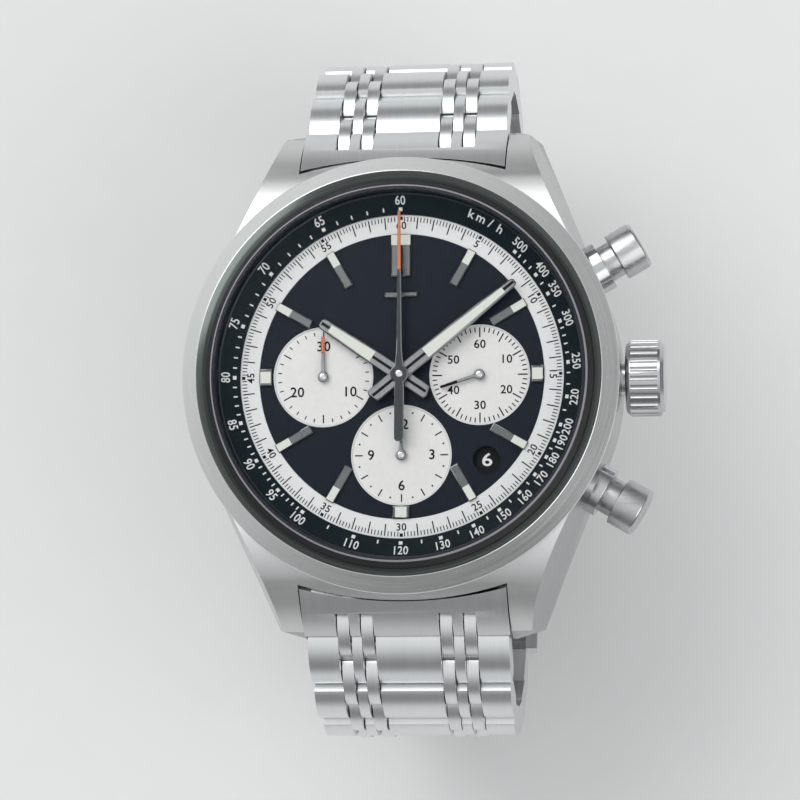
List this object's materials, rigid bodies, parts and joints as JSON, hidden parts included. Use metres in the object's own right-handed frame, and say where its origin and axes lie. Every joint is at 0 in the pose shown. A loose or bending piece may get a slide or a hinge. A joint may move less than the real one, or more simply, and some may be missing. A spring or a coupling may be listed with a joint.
{
  "type": "chronograph wristwatch",
  "caption": "Round steel chronograph wristwatch with three subdials, crown, two pushers and a link bracelet closed by a folding clasp.",
  "frame": {"origin": "centre of the case back's outer face", "axes": "+Z out through the dial, +Y towards 12 o'clock, +X towards the crown"},
  "size_m": [0.0462, 0.0682, 0.0499],
  "materials": {
    "bezel_steel": "circular satin cone, dark polished inner bevel",
    "brass": "gilt",
    "case_ring": "matt",
    "case_steel": "brushed tops, polished facets",
    "crystal": "clear, domed",
    "date_print": "matt black, white numerals",
    "dial_black": "black sunray, silver subdials",
    "flange": "dark blue-green with white printed scale",
    "hand_dark": "dark grey",
    "hand_orange": "dark grey with orange tip",
    "hand_steel": "brushed, pale lume inlays",
    "link_steel": "brushed tops, polished sides",
    "markers": "polished, pale lume tips",
    "movement_steel": "striped nickel",
    "polished_steel": "polished",
    "seal_rubber": "black",
    "spring_steel": "blued"
  },
  "bodies": {
    "root": {"balance_cock": "movement_steel", "bezel": "bezel_steel", "bridge_screws": "spring_steel", "case_back": "polished_steel", "case_back_gasket": "seal_rubber", "case_back_window": "crystal", "case_middle": "case_steel", "crown_and_pusher_tubes": "polished_steel", "crystal": "crystal", "crystal_gasket": "seal_rubber", "dial": "dial_black", "hairspring": "spring_steel", "hour_markers": "markers", "lower_end_link": "link_steel", "lug_spring_bars": "polished_steel", "main_plate": "movement_steel", "movement_ring": "case_ring", "reset_pusher_spring": "spring_steel", "start_pusher_spring": "spring_steel", "tachymeter_ring": "flange", "train_bridge": "movement_steel", "upper_end_link": "link_steel"},
    "hour_hand": {"hour_hand": "hand_steel"},
    "minute_train": {"minute_hand": "hand_steel", "centre_wheel": "brass"},
    "seconds_train": {"small_seconds_hand": "hand_dark", "fourth_wheel": "brass"},
    "third_wheel": {"third_wheel": "brass"},
    "escape_wheel": {"escape_wheel": "movement_steel"},
    "barrel": {"barrel": "brass"},
    "pallet_fork": {"pallet_fork": "movement_steel"},
    "balance": {"balance_wheel": "brass"},
    "chronograph_seconds": {"chronograph_seconds_hand": "hand_orange"},
    "minute_counter": {"minute_counter_hand": "hand_orange"},
    "hour_counter": {"hour_counter_hand": "hand_dark"},
    "column_wheel": {"column_wheel": "movement_steel"},
    "date_disc": {"date_disc": "date_print"},
    "rotor": {"rotor": "movement_steel"},
    "crown": {"crown": "polished_steel"},
    "start_pusher": {"start_pusher": "polished_steel"},
    "reset_pusher": {"reset_pusher": "polished_steel"},
    "clasp_inner_blade": {"clasp_inner_blade": "polished_steel"},
    "clasp_middle_blade": {"clasp_middle_blade": "polished_steel"},
    "clasp_cover": {"clasp_cover": "link_steel"},
    "clasp_button_left": {"clasp_button_left": "polished_steel"},
    "clasp_button_right": {"clasp_button_right": "polished_steel"},
    "upper_link_1": {"upper_link_1": "link_steel"},
    "upper_link_2": {"upper_link_2": "link_steel"},
    "upper_link_3": {"upper_link_3": "link_steel"},
    "upper_link_4": {"upper_link_4": "link_steel"},
    "upper_link_5": {"upper_link_5": "link_steel"},
    "upper_link_6": {"upper_link_6": "link_steel"},
    "upper_link_7": {"upper_link_7": "link_steel"},
    "lower_link_1": {"lower_link_1": "link_steel"},
    "lower_link_2": {"lower_link_2": "link_steel"},
    "lower_link_3": {"lower_link_3": "link_steel"},
    "lower_link_4": {"lower_link_4": "link_steel"},
    "lower_link_5": {"lower_link_5": "link_steel"},
    "lower_link_6": {"lower_link_6": "link_steel"},
    "stem": {"winding_stem": "movement_steel"}
  },
  "joints": [
    {"name": "small_seconds_turn", "type": "hinge", "parent": "root", "child": "seconds_train", "pos_m": [0.00758, 0, 0.01], "axis": [0, 0, 1], "continuous": true},
    {"name": "minute_hand_turn", "type": "hinge", "parent": "root", "child": "minute_train", "pos_m": [0, 0, 0.011], "axis": [0, 0, 1], "continuous": true},
    {"name": "hour_hand_turn", "type": "hinge", "parent": "root", "child": "hour_hand", "pos_m": [0, 0, 0.0108], "axis": [0, 0, 1], "continuous": true},
    {"name": "third_wheel_turn", "type": "hinge", "parent": "root", "child": "third_wheel", "pos_m": [0.00484, -0.00176, 0.0055], "axis": [0, 0, 1], "continuous": true},
    {"name": "escape_wheel_turn", "type": "hinge", "parent": "root", "child": "escape_wheel", "pos_m": [0.00879, -0.00334, 0.0063], "axis": [0, 0, 1], "continuous": true},
    {"name": "barrel_turn", "type": "hinge", "parent": "root", "child": "barrel", "pos_m": [-0.0036, 0.0051, 0.0055], "axis": [0, 0, 1], "continuous": true},
    {"name": "pallet_rock", "type": "hinge", "parent": "root", "child": "pallet_fork", "pos_m": [0.007, -0.0066, 0.0064], "axis": [0, 0, 1], "range_deg": [-5, 5]},
    {"name": "balance_swing", "type": "hinge", "parent": "root", "child": "balance", "pos_m": [0.0039, -0.0104, 0.0052], "axis": [0, 0, 1], "range_deg": [-270, 270], "deforming": ["hairspring"]},
    {"name": "chronograph_seconds_turn", "type": "hinge", "parent": "root", "child": "chronograph_seconds", "pos_m": [0, 0, 0.0116], "axis": [0, 0, 1], "continuous": true},
    {"name": "minute_counter_turn", "type": "hinge", "parent": "root", "child": "minute_counter", "pos_m": [-0.00758, 0, 0.01], "axis": [0, 0, 1], "continuous": true},
    {"name": "hour_counter_turn", "type": "hinge", "parent": "root", "child": "hour_counter", "pos_m": [0, -0.00766, 0.01], "axis": [0, 0, 1], "continuous": true},
    {"name": "column_wheel_turn", "type": "hinge", "parent": "root", "child": "column_wheel", "pos_m": [0.0065, 0.0082, 0.0051], "axis": [0, 0, 1], "continuous": true},
    {"name": "date_disc_turn", "type": "hinge", "parent": "root", "child": "date_disc", "pos_m": [0, 0, 0.0091], "axis": [0, 0, 1], "continuous": true},
    {"name": "rotor_swing", "type": "hinge", "parent": "root", "child": "rotor", "pos_m": [0, 0, 0.0026], "axis": [0, 0, 1], "continuous": true},
    {"name": "crown_pull", "type": "slide", "parent": "root", "child": "stem", "axis": [1, 0, 0], "range_m": [0, 0.0012]},
    {"name": "crown_turn", "type": "hinge", "parent": "stem", "child": "crown", "pos_m": [0.023, 0, 0.0051], "axis": [1, 0, 0], "continuous": true},
    {"name": "start_pusher_press", "type": "slide", "parent": "root", "child": "start_pusher", "axis": [-0.866, -0.5, 0], "range_m": [0, 0.001], "stiffness_N_per_m": 400, "deforming": ["start_pusher_spring"]},
    {"name": "reset_pusher_press", "type": "slide", "parent": "root", "child": "reset_pusher", "axis": [-0.866, 0.5, 0], "range_m": [0, 0.001], "stiffness_N_per_m": 400, "deforming": ["reset_pusher_spring"]},
    {"name": "upper_link_1_bend", "type": "hinge", "parent": "root", "child": "upper_link_1", "pos_m": [0, 0.0254, 0.0034], "axis": [1, 0, 0], "range_deg": [0, 16]},
    {"name": "upper_link_2_bend", "type": "hinge", "parent": "upper_link_1", "child": "upper_link_2", "pos_m": [0, 0.02989, -0.00011], "axis": [1, 0, 0], "range_deg": [0, 28.6]},
    {"name": "upper_link_3_bend", "type": "hinge", "parent": "upper_link_2", "child": "upper_link_3", "pos_m": [0, 0.03239, -0.00523], "axis": [1, 0, 0], "range_deg": [0, 26.4]},
    {"name": "upper_link_4_bend", "type": "hinge", "parent": "upper_link_3", "child": "upper_link_4", "pos_m": [0, 0.03259, -0.01093], "axis": [1, 0, 0], "range_deg": [0, 17.6]},
    {"name": "upper_link_5_bend", "type": "hinge", "parent": "upper_link_4", "child": "upper_link_5", "pos_m": [0, 0.03121, -0.01646], "axis": [1, 0, 0], "range_deg": [0, 17.6]},
    {"name": "upper_link_6_bend", "type": "hinge", "parent": "upper_link_5", "child": "upper_link_6", "pos_m": [0, 0.02836, -0.0214], "axis": [1, 0, 0], "range_deg": [0, 17.6]},
    {"name": "upper_link_7_bend", "type": "hinge", "parent": "upper_link_6", "child": "upper_link_7", "pos_m": [0, 0.02426, -0.02536], "axis": [1, 0, 0], "range_deg": [0, 15.4]},
    {"name": "lower_link_1_bend", "type": "hinge", "parent": "root", "child": "lower_link_1", "pos_m": [0, -0.0254, 0.0034], "axis": [-1, 0, 0], "range_deg": [0, 16]},
    {"name": "lower_link_2_bend", "type": "hinge", "parent": "lower_link_1", "child": "lower_link_2", "pos_m": [0, -0.02989, -0.00011], "axis": [-1, 0, 0], "range_deg": [0, 28.6]},
    {"name": "lower_link_3_bend", "type": "hinge", "parent": "lower_link_2", "child": "lower_link_3", "pos_m": [0, -0.03239, -0.00523], "axis": [-1, 0, 0], "range_deg": [0, 26.4]},
    {"name": "lower_link_4_bend", "type": "hinge", "parent": "lower_link_3", "child": "lower_link_4", "pos_m": [0, -0.03259, -0.01093], "axis": [-1, 0, 0], "range_deg": [0, 17.6]},
    {"name": "lower_link_5_bend", "type": "hinge", "parent": "lower_link_4", "child": "lower_link_5", "pos_m": [0, -0.03121, -0.01646], "axis": [-1, 0, 0], "range_deg": [0, 17.6]},
    {"name": "lower_link_6_bend", "type": "hinge", "parent": "lower_link_5", "child": "lower_link_6", "pos_m": [0, -0.02836, -0.0214], "axis": [-1, 0, 0], "range_deg": [0, 17.6]},
    {"name": "clasp_end_bend", "type": "hinge", "parent": "lower_link_6", "child": "clasp_inner_blade", "pos_m": [0, -0.02426, -0.02536], "axis": [-1, 0, 0], "range_deg": [0, 11]},
    {"name": "clasp_middle_fold", "type": "hinge", "parent": "clasp_inner_blade", "child": "clasp_middle_blade", "pos_m": [0, 0.01448, -0.02968], "axis": [1, 0, 0], "range_deg": [0, 168]},
    {"name": "clasp_cover_fold", "type": "hinge", "parent": "clasp_middle_blade", "child": "clasp_cover", "pos_m": [0, -0.02066, -0.02864], "axis": [-1, 0, 0], "range_deg": [0, 168]},
    {"name": "clasp_button_left_press", "type": "slide", "parent": "clasp_cover", "child": "clasp_button_left", "axis": [1, 0, 0], "range_m": [0, 0.0005], "stiffness_N_per_m": 300},
    {"name": "clasp_button_right_press", "type": "slide", "parent": "clasp_cover", "child": "clasp_button_right", "axis": [-1, 0, 0], "range_m": [0, 0.0005], "stiffness_N_per_m": 300}
  ],
  "couplings": [
    {"joint": "minute_hand_turn", "follows": "small_seconds_turn", "ratio": 0.016667},
    {"joint": "hour_hand_turn", "follows": "small_seconds_turn", "ratio": 0.0013889},
    {"joint": "third_wheel_turn", "follows": "small_seconds_turn", "ratio": -0.13333},
    {"joint": "escape_wheel_turn", "follows": "small_seconds_turn", "ratio": -10},
    {"joint": "barrel_turn", "follows": "small_seconds_turn", "ratio": -0.0020833},
    {"joint": "minute_counter_turn", "follows": "chronograph_seconds_turn", "ratio": 0.033333},
    {"joint": "hour_counter_turn", "follows": "chronograph_seconds_turn", "ratio": 0.0013889},
    {"joint": "upper_link_2_bend", "follows": "upper_link_1_bend", "ratio": 1.625},
    {"joint": "upper_link_3_bend", "follows": "upper_link_1_bend", "ratio": 1.5},
    {"joint": "upper_link_4_bend", "follows": "upper_link_1_bend", "ratio": 1},
    {"joint": "upper_link_5_bend", "follows": "upper_link_1_bend", "ratio": 1},
    {"joint": "upper_link_6_bend", "follows": "upper_link_1_bend", "ratio": 1},
    {"joint": "upper_link_7_bend", "follows": "upper_link_1_bend", "ratio": 0.875},
    {"joint": "lower_link_2_bend", "follows": "lower_link_1_bend", "ratio": 1.625},
    {"joint": "lower_link_3_bend", "follows": "lower_link_1_bend", "ratio": 1.5},
    {"joint": "lower_link_4_bend", "follows": "lower_link_1_bend", "ratio": 1},
    {"joint": "lower_link_5_bend", "follows": "lower_link_1_bend", "ratio": 1},
    {"joint": "lower_link_6_bend", "follows": "lower_link_1_bend", "ratio": 1},
    {"joint": "clasp_end_bend", "follows": "lower_link_1_bend", "ratio": 0.625},
    {"joint": "clasp_middle_fold", "follows": "upper_link_1_bend", "ratio": 10},
    {"joint": "clasp_cover_fold", "follows": "upper_link_1_bend", "ratio": 10}
  ]
}
